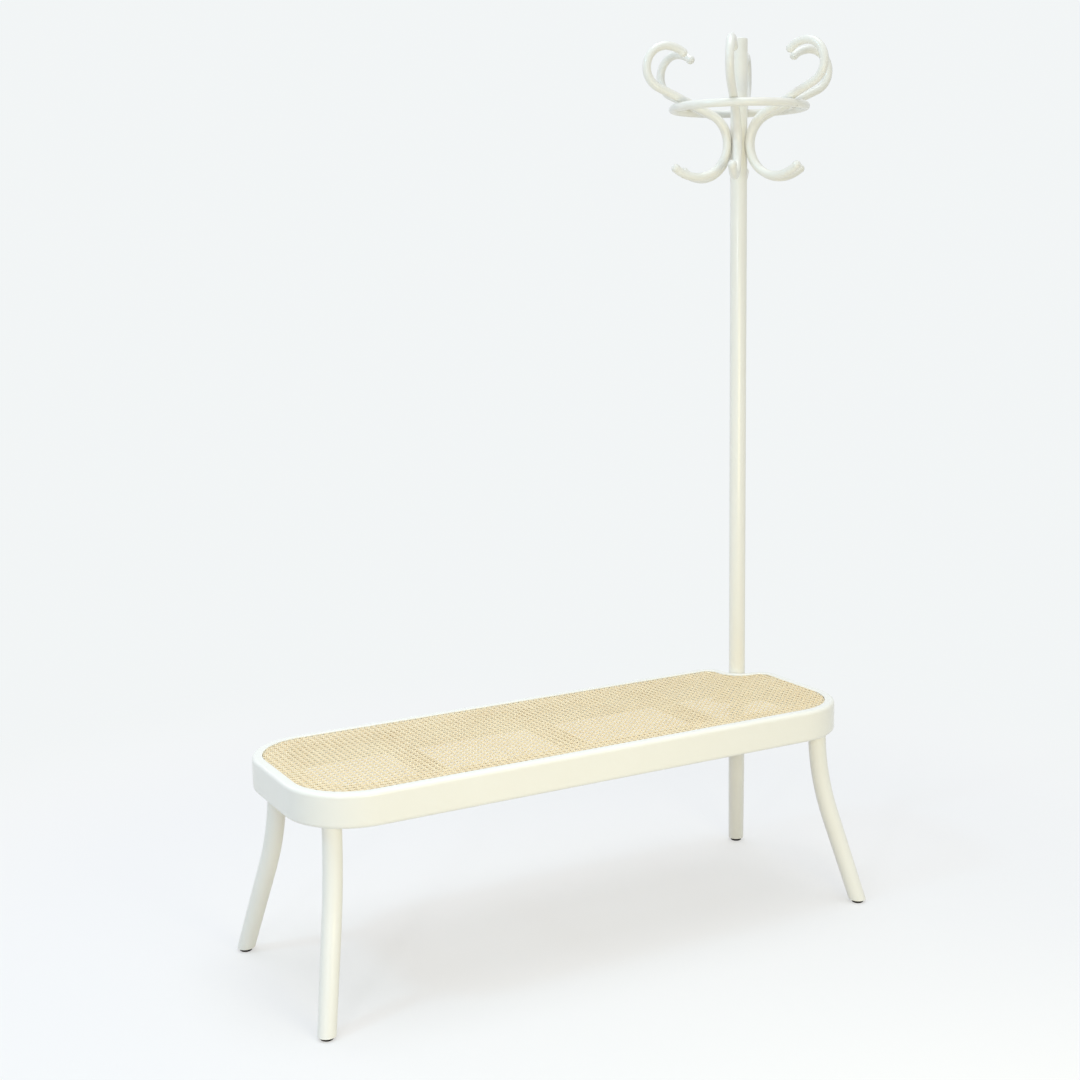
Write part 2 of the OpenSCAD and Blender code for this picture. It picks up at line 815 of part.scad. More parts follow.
// The hook screws point at the pole's axis, with their heads sunk in the rod.
module hook_screw_places() {
    for (k = hook_numbers) hook_place(k)
        translate([hook_in + hook_d / 2 - hook_sink, 0, 0]) rotate([0, -90, 0]) children();
}

// The ring screws point up through the ring into the arms, square to them.
module ring_screw_places() {
    for (k = hook_numbers) hook_place(k) translate([ring_r, 0, ring_y]) rotate([0, -arm_angle, 0])
        translate([0, 0, ring_sink - ring_d / 2]) children();
}

module rod_arc(centre, r, from, to) {
    translate([centre.x, 0, centre.y]) rotate([90, 0, 0])
        rotate_extrude(start = from, angle = to - from) translate([r, 0])
            circle(d = hook_d - 2 * bend_thin);
}

module rod_tip(centre, r, at) {
    translate([centre.x + r * cos(at), 0, centre.y + r * sin(at)]) sphere(d = hook_d + 2 * tip_swell);
}

// A hook's rod from its lower tip to its upper one
module hook_rod() {
    rod_tip(low_tip_centre, low_tip_r, down + low_tip_turn);
    rod_arc(low_tip_centre, low_tip_r, down, down + low_tip_turn);
    rod_arc(low_centre, hook_bend_r, up + arm_angle, down);
    translate([arm_start.x, 0, arm_start.y]) rotate([0, 90 - arm_angle, 0]) translate([0, 0, -lap])
        cylinder(h = norm(arm_end - arm_start) + 2 * lap, d = hook_d);
    rod_arc(curl_centre, curl_r, arm_angle - up, up);
    rod_arc(top_tip_centre, top_tip_r, up, up + top_tip_turn);
    rod_tip(top_tip_centre, top_tip_r, up + top_tip_turn);
}

module coat_hook(k) {
    color(white) placed() difference() {
        hook_place(k) hook_rod();
        hook_screw_places() screw_hole(hook_screw_l, hook_sink + past);
        ring_screw_places() screw_hole(ring_screw_l, 0);
    }
}
module coat_hook_1() {
    coat_hook(0);
}
module coat_hook_2() {
    coat_hook(1);
}
module coat_hook_3() {
    coat_hook(2);
}
module coat_hook_4() {
    coat_hook(3);
}
module coat_hook_5() {
    coat_hook(4);
}
module coat_hook_6() {
    coat_hook(5);
}
coat_hook_1();
coat_hook_2();
coat_hook_3();
coat_hook_4();
coat_hook_5();
coat_hook_6();

module hook_screws() {
    color(steel) placed() hook_screw_places() screw(hook_screw_l);
}
hook_screws();

module hook_ring() {
    color(white) placed() difference() {
        hook_place(0) translate([0, 0, ring_y]) rotate_extrude() translate([ring_r, 0])
            circle(d = ring_d);
        ring_screw_places() screw_hole(ring_screw_l, ring_sink + past);
    }
}
hook_ring();

module ring_screws() {
    color(brass) placed() ring_screw_places() screw(ring_screw_l);
}
ring_screws();
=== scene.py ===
"""Coat rack bench: a bent hoop with a cane seat, on three splayed legs and one tall pole with six hooks.

Metres, +Z up, +X along the bench, -Y towards the front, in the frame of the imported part.
"""
import math

import bmesh
import bpy
from mathutils import Matrix, Vector


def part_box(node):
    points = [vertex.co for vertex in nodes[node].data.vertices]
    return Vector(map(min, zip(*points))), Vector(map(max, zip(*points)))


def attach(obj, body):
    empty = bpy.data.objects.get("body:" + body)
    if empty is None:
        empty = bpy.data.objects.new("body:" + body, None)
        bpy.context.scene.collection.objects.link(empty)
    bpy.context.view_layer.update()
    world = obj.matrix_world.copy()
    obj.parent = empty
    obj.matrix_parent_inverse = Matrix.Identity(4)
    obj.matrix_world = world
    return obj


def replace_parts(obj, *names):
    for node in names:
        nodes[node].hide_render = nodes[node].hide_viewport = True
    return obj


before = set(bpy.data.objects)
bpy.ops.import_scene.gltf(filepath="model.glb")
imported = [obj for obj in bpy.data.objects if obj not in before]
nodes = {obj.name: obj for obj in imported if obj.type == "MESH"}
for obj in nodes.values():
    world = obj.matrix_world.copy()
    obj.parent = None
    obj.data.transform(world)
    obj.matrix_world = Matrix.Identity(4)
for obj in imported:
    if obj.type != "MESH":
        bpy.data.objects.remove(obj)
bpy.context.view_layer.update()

MM = 0.001
UP = Vector((0, 0, 1))
WELD = 0.01 * MM  # corners of a node's triangles that lie nearer than this are one
FLUSH = 0.02 * MM  # corners that lie nearer than this to a plane are in it
UPWARD = 0.5  # a face whose normal rises more than this looks up
QUARTER = math.pi / 2  # of a turn

# Where the photograph was taken from: turns in degrees, lens and sensor in millimetres
CAMERA_AT = Vector((-1.672, -2.906, 1.397))
CAMERA_TURN = 28.77
CAMERA_DOWN = 9.77
CAMERA_ROLL = -0.99
CAMERA_LENS = 53.82
SENSOR = 36

# Colours of the finishes, each with the darker one that it drifts to
LACQUER = (0.89, 0.875, 0.79)
LACQUER_SHADE = (0.865, 0.847, 0.755)
STRAW = (0.90, 0.775, 0.51)
HONEY = (0.77, 0.595, 0.335)
BEECH = (0.94, 0.85, 0.69)
BEECH_DARK = (0.88, 0.77, 0.60)
STEEL = (0.62, 0.63, 0.64)
STEEL_DARK = (0.48, 0.49, 0.50)
BRASS = (0.80, 0.66, 0.36)
BRASS_DARK = (0.66, 0.52, 0.26)
PLASTIC = (0.02, 0.012, 0.009)
PLASTIC_DARK = (0.008, 0.005, 0.004)

# The cane: pairs of strands along and across the seat, and single strands on both diagonals
CANE_PITCH = 13 * MM
STRAND_WIDE = 2.8 * MM
STRAND_THICK = 0.9 * MM
DIAGONAL_THICK = 0.6 * MM
SHOULDER_OUT = 0.75  # share of a strand's half width at which its crown begins
SHOULDER_UP = 0.6  # share of its half thickness there
PAIR_HALF = 1.46 * MM  # from the middle of a pair to the middle of each strand
DIAGONAL_LEVEL = 2.6 * MM  # how far a diagonal runs level from a pair's middle, along X as along Y
EDGE_CLEAR = 0.3 * MM  # from the outline to a strand's end
KNOT_CLEAR = 1 * MM  # least distance from a strand's end to its first bend

# Coat hooks: each is drawn in its own plane, as distance from the pole's axis and height over its seat
HOOK_COUNT = 6
HOOK_TURN = math.radians(49)
HOOK_SEAT = Vector((492.332, 90.332, 1646)) * MM  # on the pole's axis, at the height of the hooks' seats
SEAT_OUT = 28.2 * MM  # from the pole's axis to the middle of the rod at its seat
ROD = 9.35 * MM  # radius of the rod
BALL = 9.98 * MM  # radius of its rounded tips
LARGE_BEND = 71 * MM  # this and the next three are radii of the rod's middle line
LOW_TIP_BEND = 80 * MM
CURL = 46 * MM
TOP_TIP_BEND = 60 * MM
CURL_AT = Vector((172, 161)) * MM
TIP_TURN = math.radians(40)
ARC_STEP = math.radians(1.5)
ROD_SIDES = 24
TIP_RINGS = (0.25, 0.45, 0.62, 0.76, 0.87, 0.95, 0.985)  # how far out, in shares of the ball's radius
TIP_FLAT = 0.015  # how far beyond the last of them the closing point lies

# A hook's plug, turned round its pin hole: radius and distance out from the rod, in millimetres
PLUG_DEEP = 2.6
PLUG_PROFILE = ((1.5, -PLUG_DEEP), (1.5, 0.02), (1.75, 0.2), (2.3, 0.08), (2.9, -0.3), (3.1, -0.75),
                (3.1, -PLUG_DEEP))

# Wood screws, from the head's flat top down
SCREW_SIDES = 24
SCREW_BEVEL = 0.25 * MM  # width and depth of the bevel round the top
SCREW_BEVEL_DEEP = 0.15 * MM
SCREW_RIM_DEEP = 0.4 * MM
SCREW_HEAD = 2.6 * MM  # how deep the head ends
SCREW_SHANK = 2.25 * MM  # radius
SCREW_POINT = 5 * MM  # length of the point
SCREW_TIP = 0.3 * MM
CROSS_ARM = 2.3 * MM  # from the axis to an arm's end
CROSS_HALF = 0.55 * MM  # half of an arm's width
CROSS_DEEP = 2 * MM
CROSS_TAPER = 0.45  # size of the recess at its floor, as a share of its mouth

# Bolts, from the head's flat top down
BOLT_SIDES = 36
BOLT_HEAD = 5.3 * MM  # how deep the head ends
BOLT_SHANK = 4 * MM  # radius
BOLT_LAND = 0.93  # radius of the flat top, as a share of the hexagon's inner radius
BOLT_CHAMFER = 0.5  # fall of the chamfer over its width
DISH_DEEP = 0.25 * MM
DISH_RIM = 0.84  # radius of the dish in the top, as a share of the flat top's
DISH_FLOOR = 0.8

# Floor, backdrop and light
FLOOR_RADIUS = 30
FLOOR_SIDES = 64
FLOOR_NEAR = 1.0  # from here to the next the floor turns into the backdrop's colour
FLOOR_FAR = 2.2
BACKDROP = (0.89, 0.915, 0.92)
PAPER = (0.78, 0.785, 0.775)
PAPER_BELOW = (0.60, 0.60, 0.58)  # what the floor reflects to the bench
PAPER_LIT = (1.0, 1.0, 0.99)
PAPER_GLOW = 0.5  # share of the floor's own light near the bench
FILL = (0.53, 0.565, 0.61)

# Lamps: name, place, width across, power in watts and colour
LAMPS_FACE = Vector((0, 0, 0.7))
LAMPS = (
    ("front_lamp", (-0.2, -2.2, 0.9), 0.9, 14.5, (1.0, 0.885, 0.52)),
    ("front_left_lamp", (-2.8, -2.6, 1.4), 0.35, 17, (0.86, 0.88, 1.0)),
    ("window", (-2.2, -0.2, 2.9), 0.45, 16, (0.45, 0.75, 1.0)),
    ("rear_lamp", (-1.6, 2.6, 2.2), 1.6, 8, (1.0, 0.72, 0.70)),
    ("ceiling", (0, -0.3, 12), 9.0, 605, (0.90, 0.93, 1.0)),
)


# Camera

def place_camera():
    data = bpy.data.cameras.new("photo_camera")
    data.lens = CAMERA_LENS
    data.sensor_width = SENSOR
    camera = bpy.data.objects.new("photo_camera", data)
    bpy.context.scene.collection.objects.link(camera)
    turn = Matrix.Rotation(math.radians(-CAMERA_TURN), 3, "Z")
    tilt = Matrix.Rotation(math.radians(90 - CAMERA_DOWN), 3, "X")
    roll = Matrix.Rotation(math.radians(CAMERA_ROLL), 3, "Z")
    camera.matrix_world = Matrix.LocRotScale(CAMERA_AT, turn @ tilt @ roll, None)
    bpy.context.scene.camera = camera


# Shader maths

class Paint:
    """An output in a material's node tree. Sums and products of outputs add Math nodes."""

    def __init__(self, tree, socket=None):
        self.tree = tree
        self.socket = socket

    def node(self, kind, settings=None, sockets=None, output=0):
        """Adds a node, sets it, gives its sockets their values or links, and returns an output."""
        made = self.tree.nodes.new("ShaderNode" + kind)
        for name, value in (settings or {}).items():
            if name == "stops":
                for element, (place, colour) in zip(made.color_ramp.elements, value, strict=True):
                    element.position = place
                    element.color = rgb(colour)
            else:
                setattr(made, name, value)
        for name, value in (sockets or {}).items():
            if isinstance(value, Paint):
                self.tree.links.new(value.socket, made.inputs[name])
            else:
                made.inputs[name].default_value = value
        return Paint(self.tree, made.outputs[output])

    def math(self, operation, *values):
        return self.node("Math", {"operation": operation}, dict(enumerate(values)))

    def __add__(self, other):
        return self.math("ADD", self, other)

    __radd__ = __add__

    def __mul__(self, other):
        return self.math("MULTIPLY", self, other)

    __rmul__ = __mul__


def rgb(colour):
    return (*colour, 1)


def noise(paint, place, scale, detail=3.0, stretch=(1, 1, 1)):
    """Noise from 0 to 1 at a scale of blotches per metre, drawn out where stretch is small."""
    spread = paint.node("Mapping", None, {"Vector": place, "Scale": stretch})
    return paint.node("TexNoise", None, {"Vector": spread, "Scale": scale, "Detail": detail})


def between(paint, share, start, end):
    """A colour that runs from one to another as share runs from 0 to 1."""
    colour_output = 2
    return paint.node("Mix", {"data_type": "RGBA"}, {"Factor": share, "A": rgb(start), "B": rgb(end)},
                      output=colour_output)


def toned(paint, tone, dark, light):
    """A colour from a tone by a ramp of two stops, each a tone and its colour."""
    return paint.node("ValToRGB", {"stops": (dark, light)}, {"Fac": tone})


def relief(paint, height, strength, depth):
    return paint.node("Bump", None, {"Height": height, "Strength": strength, "Distance": depth})


def finish_of(name, surface, **constants):
    """A material from what varies over its surface, by the shader's socket names, and from constants."""
    material = bpy.data.materials.new(name)
    material.use_nodes = True
    tree = material.node_tree
    shader = tree.nodes["Principled BSDF"]
    paint = Paint(tree)
    place = paint.node("TexCoord", output="Object")
    for socket, value in constants.items():
        shader.inputs[socket.replace("_", " ")].default_value = value
    for socket, value in surface(paint, place).items():
        tree.links.new(value.socket, shader.inputs[socket])
    return material


# Finishes

def lacquer(name, along):
    """Warm white lacquer on wood whose grain runs along the axes where along is small."""
    def surface(paint, place):
        cloud = noise(paint, place, scale=5)
        peel = noise(paint, place, scale=350, detail=2)
        grain = noise(paint, place, scale=260, detail=4, stretch=along)
        return {"Base Color": between(paint, cloud, LACQUER_SHADE, LACQUER),
                "Roughness": cloud * 0.12 + 0.3,
                "Normal": relief(paint, peel * 0.35 + grain * 0.65, strength=0.1, depth=0.02 * MM)}
    return finish_of(name, surface, Coat_Weight=0.3, Coat_Roughness=0.12)


def cane_skin(name, turn):
    """Polished cane whose fibres run at an angle of the plan, in degrees from +X."""
    fibres = (0.02, 1, 1)

    def surface(paint, place):
        turned = paint.node("Mapping", {"vector_type": "TEXTURE"},
                            {"Vector": place, "Rotation": (0, 0, math.radians(turn))})
        cloud = noise(paint, place, scale=9)
        strand = noise(paint, turned, scale=420, detail=2, stretch=fibres)
        fibre = noise(paint, turned, scale=2600, stretch=fibres)
        tone = cloud * 0.15 + strand * 0.4 + fibre * 0.25 + 0.15
        return {"Base Color": toned(paint, tone, (0.38, HONEY), (0.62, STRAW)),
                "Roughness": fibre * 0.2 + 0.32,
                "Normal": relief(paint, fibre, strength=0.3, depth=0.1 * MM)}
    return finish_of(name, surface, Coat_Weight=0.15, Coat_Roughness=0.2)


def bare_wood(name, along):
    """Sanded beech whose grain runs along the axis where along is small."""
    def surface(paint, place):
        growth = noise(paint, place, scale=90, detail=4, stretch=along)
        pore = noise(paint, place, scale=900, stretch=along)
        tone = growth * 0.75 + pore * 0.3
        return {"Base Color": toned(paint, tone, (0.35, BEECH_DARK), (0.62, BEECH)),
                "Roughness": pore * 0.15 + 0.55,
                "Normal": relief(paint, pore, strength=0.25, depth=0.2 * MM)}
    return finish_of(name, surface)


def metal(name, light, dark):
    """Bare metal with fine upright scratches."""
    def surface(paint, place):
        cloud = noise(paint, place, scale=60)
        scratch = noise(paint, place, scale=2500, detail=2, stretch=(1, 1, 0.1))
        return {"Base Color": between(paint, cloud, dark, light),
                "Roughness": scratch * 0.2 + 0.25,
                "Normal": relief(paint, scratch, strength=0.2, depth=0.05 * MM)}
    return finish_of(name, surface, Metallic=1.0)


def glide_plastic(name):
    """Dark moulded plastic with a matt, gritty skin."""
    def surface(paint, place):
        cloud = noise(paint, place, scale=80)
        grit = noise(paint, place, scale=1800, detail=2)
        return {"Base Color": between(paint, cloud, PLASTIC_DARK, PLASTIC),
                "Roughness": grit * 0.2 + 0.45,
                "Normal": relief(paint, grit, strength=0.3, depth=0.1 * MM)}
    return finish_of(name, surface, Specular_IOR_Level=0.2)


# Meshes

def object_of(name, mesh, material):
    """An object of a bmesh, which is used up."""
    data = bpy.data.meshes.new(name)
    mesh.to_mesh(data)
    mesh.free()
    data.materials.append(material)
    made = bpy.data.objects.new(name, data)
    bpy.context.scene.collection.objects.link(made)
    return made


def new_piece(name, mesh, material):
    """A piece of a closed bmesh, which rides with the whole part."""
    bmesh.ops.recalc_face_normals(mesh, faces=mesh.faces)
    piece = object_of(name, mesh, material)
    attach(piece, "root")
    return piece


def join_rings(mesh, rings):
    """A skin of four-sided faces over rings that have the same number of points."""
    for ring, after in zip(rings, rings[1:]):
        for k in range(len(ring)):
            mesh.faces.new((ring[k - 1], ring[k], after[k], after[k - 1]))


def close_end(mesh, ring, point):
    """Closes a ring with a fan of faces round a point."""
    tip = mesh.verts.new(point)
    for vert, following in zip(ring, ring[1:] + ring[:1]):
        mesh.faces.new((following, vert, tip))


# Cane

def cane_outline():
    """The cane's outline in plan, as points in order: the widest of the edges round its node's top."""
    solid = bmesh.new()
    solid.from_mesh(nodes["cane_sheet"].data)
    bmesh.ops.remove_doubles(solid, verts=solid.verts, dist=WELD)
    top = {face for face in solid.faces if face.normal.z > UPWARD}
    follows = {}
    for face in top:
        for loop in face.loops:
            if not any(other in top for other in loop.edge.link_faces if other != face):
                follows[loop.vert] = loop.link_loop_next.vert
    rounds = []
    while follows:
        point = next(iter(follows))
        points = []
        while point in follows:
            points.append(point.co.xy.copy())
            point = follows.pop(point)
        rounds.append(points)
    solid.free()
    return max(rounds, key=lambda points: max(p.x for p in points) - min(p.x for p in points))


def inside_stretches(start, direction, outline):
    """The stretches of a line, as distances from its start, that lie inside the outline."""
    aside = Vector((-direction.y, direction.x))
    sides = [(p - start).dot(aside) for p in outline]
    crossings = []
    for a in range(len(outline)):
        b = (a + 1) % len(outline)
        if (sides[a] > 0) != (sides[b] > 0):
            share = sides[a] / (sides[a] - sides[b])
            crossings.append((outline[a].lerp(outline[b], share) - start).dot(direction))
    crossings.sort()
    return zip(crossings[::2], crossings[1::2])


def add_strand(mesh, path, aside, thick):
    """Sweeps a cane strand, flat below and rounded above, along a path of points."""
    half = STRAND_WIDE / 2
    low, high = -thick / 2, thick / 2
    section = [(-half, low), (half, low), (half * SHOULDER_OUT, high * SHOULDER_UP), (0, high),
               (-half * SHOULDER_OUT, high * SHOULDER_UP)]
    rings = [[mesh.verts.new(point + aside * x + UP * z) for x, z in section] for point in path]
    join_rings(mesh, rings)
    mesh.faces.new(reversed(rings[0]))
    mesh.faces.new(rings[-1])


def weave_layer(name, outline, mid, turn, lines, knots, period, thick):
    """One layer of parallel strands, which run at a turn from +X.

    Lines hold a start for each strand and the function that gives its height over mid. Knots are the
    places in each period where a strand may bend.
    """
    mesh = bmesh.new()
    direction = Vector((math.cos(turn), math.sin(turn)))
    aside = Vector((-direction.y, direction.x, 0))
    shortest = period / 3
    for start, height in lines:
        for low, high in inside_stretches(start, direction, outline):
            low += EDGE_CLEAR
            high -= EDGE_CLEAR
            if high - low < shortest:
                continue
            places = [low, high]
            for repeat in range(math.floor(low / period) - 1, math.ceil(high / period) + 1):
                places += [repeat * period + knot for knot in knots
                           if low + KNOT_CLEAR < repeat * period + knot < high - KNOT_CLEAR]
            path = []
            for place in sorted(places):
                at = start + direction * place
                path.append(Vector((at.x, at.y, mid + height(place % period))))
            add_strand(mesh, path, aside, thick)
    piece = object_of(name, mesh, cane_skin(name, math.degrees(turn)))
    for polygon in piece.data.polygons:
        polygon.use_smooth = len(polygon.vertices) == 4
    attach(piece, "root")
    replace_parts(piece, "cane_sheet")


def weave_seat():
    """Two layers of pairs, along and across, and two of diagonals that go over one and under the other."""
    outline = cane_outline()
    rail_low, rail_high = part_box("seat_rail")
    middle = (rail_low + rail_high).xy / 2
    lift = STRAND_THICK / 2
    diagonal_lift = STRAND_THICK / 2 + DIAGONAL_THICK / 2
    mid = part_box("cane_sheet")[0].z + diagonal_lift + DIAGONAL_THICK / 2
    pitch = CANE_PITCH
    count = math.ceil((rail_high.x - rail_low.x) / pitch)

    def pair_heights(second_over):
        """A pair's strand is high at one strand of each crossing pair and low at the other.

        Both strands are high, or both low, where they cross, so they pass through each other there.
        """
        near = lift if second_over else -lift

        def height(place):
            if place < PAIR_HALF * 2:
                return near
            if place > pitch - PAIR_HALF * 2:
                return -near
            return 0.0
        return height

    knots = [PAIR_HALF, pitch / 2, pitch - PAIR_HALF]
    along = []
    across = []
    for k in range(-count, count + 1):
        for side in (-1, 1):
            along.append((middle + Vector((0, k * pitch + side * PAIR_HALF)), pair_heights(side > 0)))
            across.append((middle + Vector((k * pitch + side * PAIR_HALF, 0)), pair_heights(side > 0)))
    weave_layer("cane_along", outline, mid, 0, along, knots, pitch, STRAND_THICK)
    weave_layer("cane_across", outline, mid, QUARTER, across, knots, pitch, STRAND_THICK)

    period = pitch * math.sqrt(2)
    level = DIAGONAL_LEVEL * math.sqrt(2)

    def diagonal_heights(over_at_start):
        """A diagonal goes over the pairs of one layer and under those of the other."""
        near = diagonal_lift if over_at_start else -diagonal_lift

        def height(place):
            return near if min(place, period - place) < period / 4 else -near
        return height

    knots = [level, period / 2 - level, period / 2 + level, period - level]
    for name, turn, over_at_start in (("cane_rising", QUARTER / 2, False),
                                      ("cane_falling", -QUARTER / 2, True)):
        lines = [(middle + Vector((0, (k + 0.5) * pitch)), diagonal_heights(over_at_start))
                 for k in range(-2 * count, 2 * count)]
        weave_layer(name, outline, mid, turn, lines, knots, period, DIAGONAL_THICK)


# Coat hooks

def arc(centre, radius, start, end):
    """Points of an arc in a hook's plane, from one angle to another."""
    steps = math.ceil(abs(end - start) / ARC_STEP)
    return [centre + radius * Vector((math.cos(angle), math.sin(angle)))
            for angle in (start + (end - start) * k / steps for k in range(steps + 1))]


def hook_line():
    """A hook's centreline from its lower tip up to its curl."""
    bend_at = Vector((SEAT_OUT + LARGE_BEND, 0))
    across = CURL_AT - bend_at
    arm = math.atan2(across.y, across.x) - math.asin((LARGE_BEND + CURL) / across.length)
    low_tip_at = bend_at + Vector((0, LOW_TIP_BEND - LARGE_BEND))
    top_tip_at = CURL_AT - Vector((0, TOP_TIP_BEND - CURL))
    line = arc(low_tip_at, LOW_TIP_BEND, TIP_TURN - QUARTER, -QUARTER)
    line += arc(bend_at, LARGE_BEND, -QUARTER, arm - 3 * QUARTER)[1:]
    line += arc(CURL_AT, CURL, arm - QUARTER, QUARTER)
    line += arc(top_tip_at, TOP_TIP_BEND, QUARTER, QUARTER + TIP_TURN)[1:]
    return line


def hook_stations():
    """Centre, direction and radius of a hook's rod, from one rounded tip to the other."""
    line = hook_line()
    ahead = [(after - point).normalized() for point, after in zip(line, line[1:])]
    ahead = [ahead[0]] + [(a + b).normalized() for a, b in zip(ahead, ahead[1:])] + [ahead[-1]]
    run = [0]
    for point, after in zip(line, line[1:]):
        run.append(run[-1] + (after - point).length)
    stations = []
    for point, way, done in zip(line, ahead, run):
        to_tip = min(done, run[-1] - done)
        swell = math.sqrt(BALL ** 2 - to_tip ** 2) if to_tip < BALL else 0
        stations.append((point, way, max(ROD, swell)))
    for share in TIP_RINGS:
        radius = BALL * math.sqrt(1 - share ** 2)
        stations.insert(0, (line[0] - ahead[0] * BALL * share, ahead[0], radius))
        stations.append((line[-1] + ahead[-1] * BALL * share, ahead[-1], radius))
    return stations


def hook_axes(number):
    """A hook's direction outward from the pole, and the one aside from it."""
    turn = HOOK_TURN + number * math.tau / HOOK_COUNT
    return Vector((math.cos(turn), math.sin(turn), 0)), Vector((-math.sin(turn), math.cos(turn), 0))


def rod_ring(mesh, centre, radius, across, aside):
    """A ring of points round a centre, in the plane of two directions."""
    return [mesh.verts.new(centre + radius * (math.cos(angle) * across + math.sin(angle) * aside))
            for angle in (math.tau * k / ROD_SIDES for k in range(ROD_SIDES))]


def bend_hook(number, material):
    """A round rod bent along the hook's line, which takes the place of the hook's node."""
    outward, aside = hook_axes(number)
    mesh = bmesh.new()
    stations = hook_stations()
    rings = [rod_ring(mesh, HOOK_SEAT + outward * point.x + UP * point.y, radius,
                      UP * way.x - outward * way.y, aside) for point, way, radius in stations]
    join_rings(mesh, rings)
    for end, side in ((0, -1), (-1, 1)):
        point, way = stations[end][:2]
        tip = point + side * way * BALL * TIP_FLAT
        close_end(mesh, rings[end], HOOK_SEAT + outward * tip.x + UP * tip.y)
    for face in mesh.faces:
        face.smooth = True
    node = f"coat_hook_{number + 1}"
    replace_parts(new_piece(f"bent_hook_{number + 1}", mesh, material), node)


def plug_hooks(material):
    """Small lacquered plugs over the hooks' screws, each with a pin hole in the middle."""
    mesh = bmesh.new()
    for number in range(HOOK_COUNT):
        outward, aside = hook_axes(number)
        face_at = HOOK_SEAT + outward * (SEAT_OUT + ROD)
        rings = [rod_ring(mesh, face_at + outward * out * MM, radius * MM, aside, UP)
                 for radius, out in PLUG_PROFILE]
        join_rings(mesh, rings)
        for ring in (rings[0], rings[-1]):
            close_end(mesh, ring, face_at - outward * PLUG_DEEP * MM)
    new_piece("hook_plugs", mesh, material)


# Fasteners under the seat

def solids_of(mesh):
    """The corners of each of a mesh's separate solids."""
    reached = set()
    solids = []
    for first in mesh.verts:
        if first in reached:
            continue
        reached.add(first)
        corners = [first]
        for vert in corners:  # the list grows as it is walked
            for edge in vert.link_edges:
                other = edge.other_vert(vert)
                if other not in reached:
                    reached.add(other)
                    corners.append(other)
        solids.append(corners)
    return solids


def head_faces(corners):
    """The faces of a fastener's flat top, its largest flat that all of it lies behind."""
    def area(flat):
        return round(sum(face.calc_area() for face in flat) / MM ** 2, 3)

    flats = {}
    for face in dict.fromkeys(face for vert in corners for face in vert.link_faces):
        front = face.verts[0].co.dot(face.normal) + FLUSH
        if all(vert.co.dot(face.normal) < front for vert in corners):
            flats.setdefault(tuple(round(part, 2) + 0.0 for part in face.normal), []).append(face)
    return max(flats.values(), key=area)


def fastener_places(node):
    """For each fastener of a node: its top's middle, the way out, a corner from there, and its length."""
    mesh = bmesh.new()
    mesh.from_mesh(nodes[node].data)
    bmesh.ops.remove_doubles(mesh, verts=mesh.verts, dist=WELD)
    places = []
    for corners in solids_of(mesh):
        head = head_faces(corners)
        rim = [vert.co.copy() for vert in dict.fromkeys(vert for face in head for vert in face.verts)]
        top = sum(rim, Vector()) / len(rim)
        outward = head[0].normal.copy()
        corner = max(rim, key=lambda at: round((at - top).length / MM, 3)) - top
        length = max((top - vert.co).dot(outward) for vert in corners)
        places.append((top, outward, corner, length))
    mesh.free()
    return places


def turn_rings(mesh, top, outward, corner, rings):
    """Joined rings round a fastener's axis, each a list of the depth and radius of its points."""
    across = corner.normalized()
    aside = outward.cross(across)
    turned = []
    for ring in rings:
        angles = [math.tau * k / len(ring) for k in range(len(ring))]
        turned.append([mesh.verts.new(top - outward * deep
                                      + radius * (math.cos(angle) * across + math.sin(angle) * aside))
                       for angle, (deep, radius) in zip(angles, ring)])
    join_rings(mesh, turned)
    return turned


def sink_cross(mesh, rim, top, outward, corner):
    """Sinks a cross recess in a screw's head and fills the flat between it and the rim."""
    across = corner.normalized()
    aside = outward.cross(across)
    plus = []
    points = [(CROSS_ARM, -CROSS_HALF), (CROSS_ARM, CROSS_HALF), (CROSS_HALF, CROSS_HALF)]
    for quarter in range(4):
        plus += points
        points = [(-y, x) for x, y in points]
    mouth = [mesh.verts.new(top + x * across + y * aside) for x, y in plus]
    floor = [mesh.verts.new(top - outward * CROSS_DEEP + CROSS_TAPER * (x * across + y * aside))
             for x, y in plus]
    join_rings(mesh, [mouth, floor])
    mesh.faces.new(floor)
    for quarter in range(4):
        # An arm ends in the corners a and b, c is the inner corner after it, and d begins the next arm
        a, b, c, d = (mouth[(len(mouth) // 4 * quarter + k) % len(mouth)] for k in range(4))
        out = [rim[(len(rim) // 4 * quarter + k) % len(rim)] for k in range(-1, 6)]
        for triangle in ((a, out[0], out[1]), (a, out[1], b), (b, out[1], out[2]), (b, out[2], out[3]),
                         (b, out[3], out[4]), (b, out[4], c), (c, out[4], d), (d, out[4], out[5]),
                         (d, out[5], out[6])):
            mesh.faces.new(triangle)


def wood_screws(node, material):
    """Countersunk screws with cross recesses in place of a node's plain ones."""
    mesh = bmesh.new()
    for top, outward, corner, length in fastener_places(node):
        head = corner.length
        profile = [(0, head - SCREW_BEVEL), (SCREW_BEVEL_DEEP, head), (SCREW_RIM_DEEP, head),
                   (SCREW_HEAD, SCREW_SHANK), (length - SCREW_POINT, SCREW_SHANK),
                   (length - SCREW_TIP, SCREW_TIP)]
        rings = turn_rings(mesh, top, outward, corner, [[place] * SCREW_SIDES for place in profile])
        close_end(mesh, rings[-1], top - outward * length)
        sink_cross(mesh, rings[0], top, outward, corner)
    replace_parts(new_piece("cross_" + node, mesh, material), node)


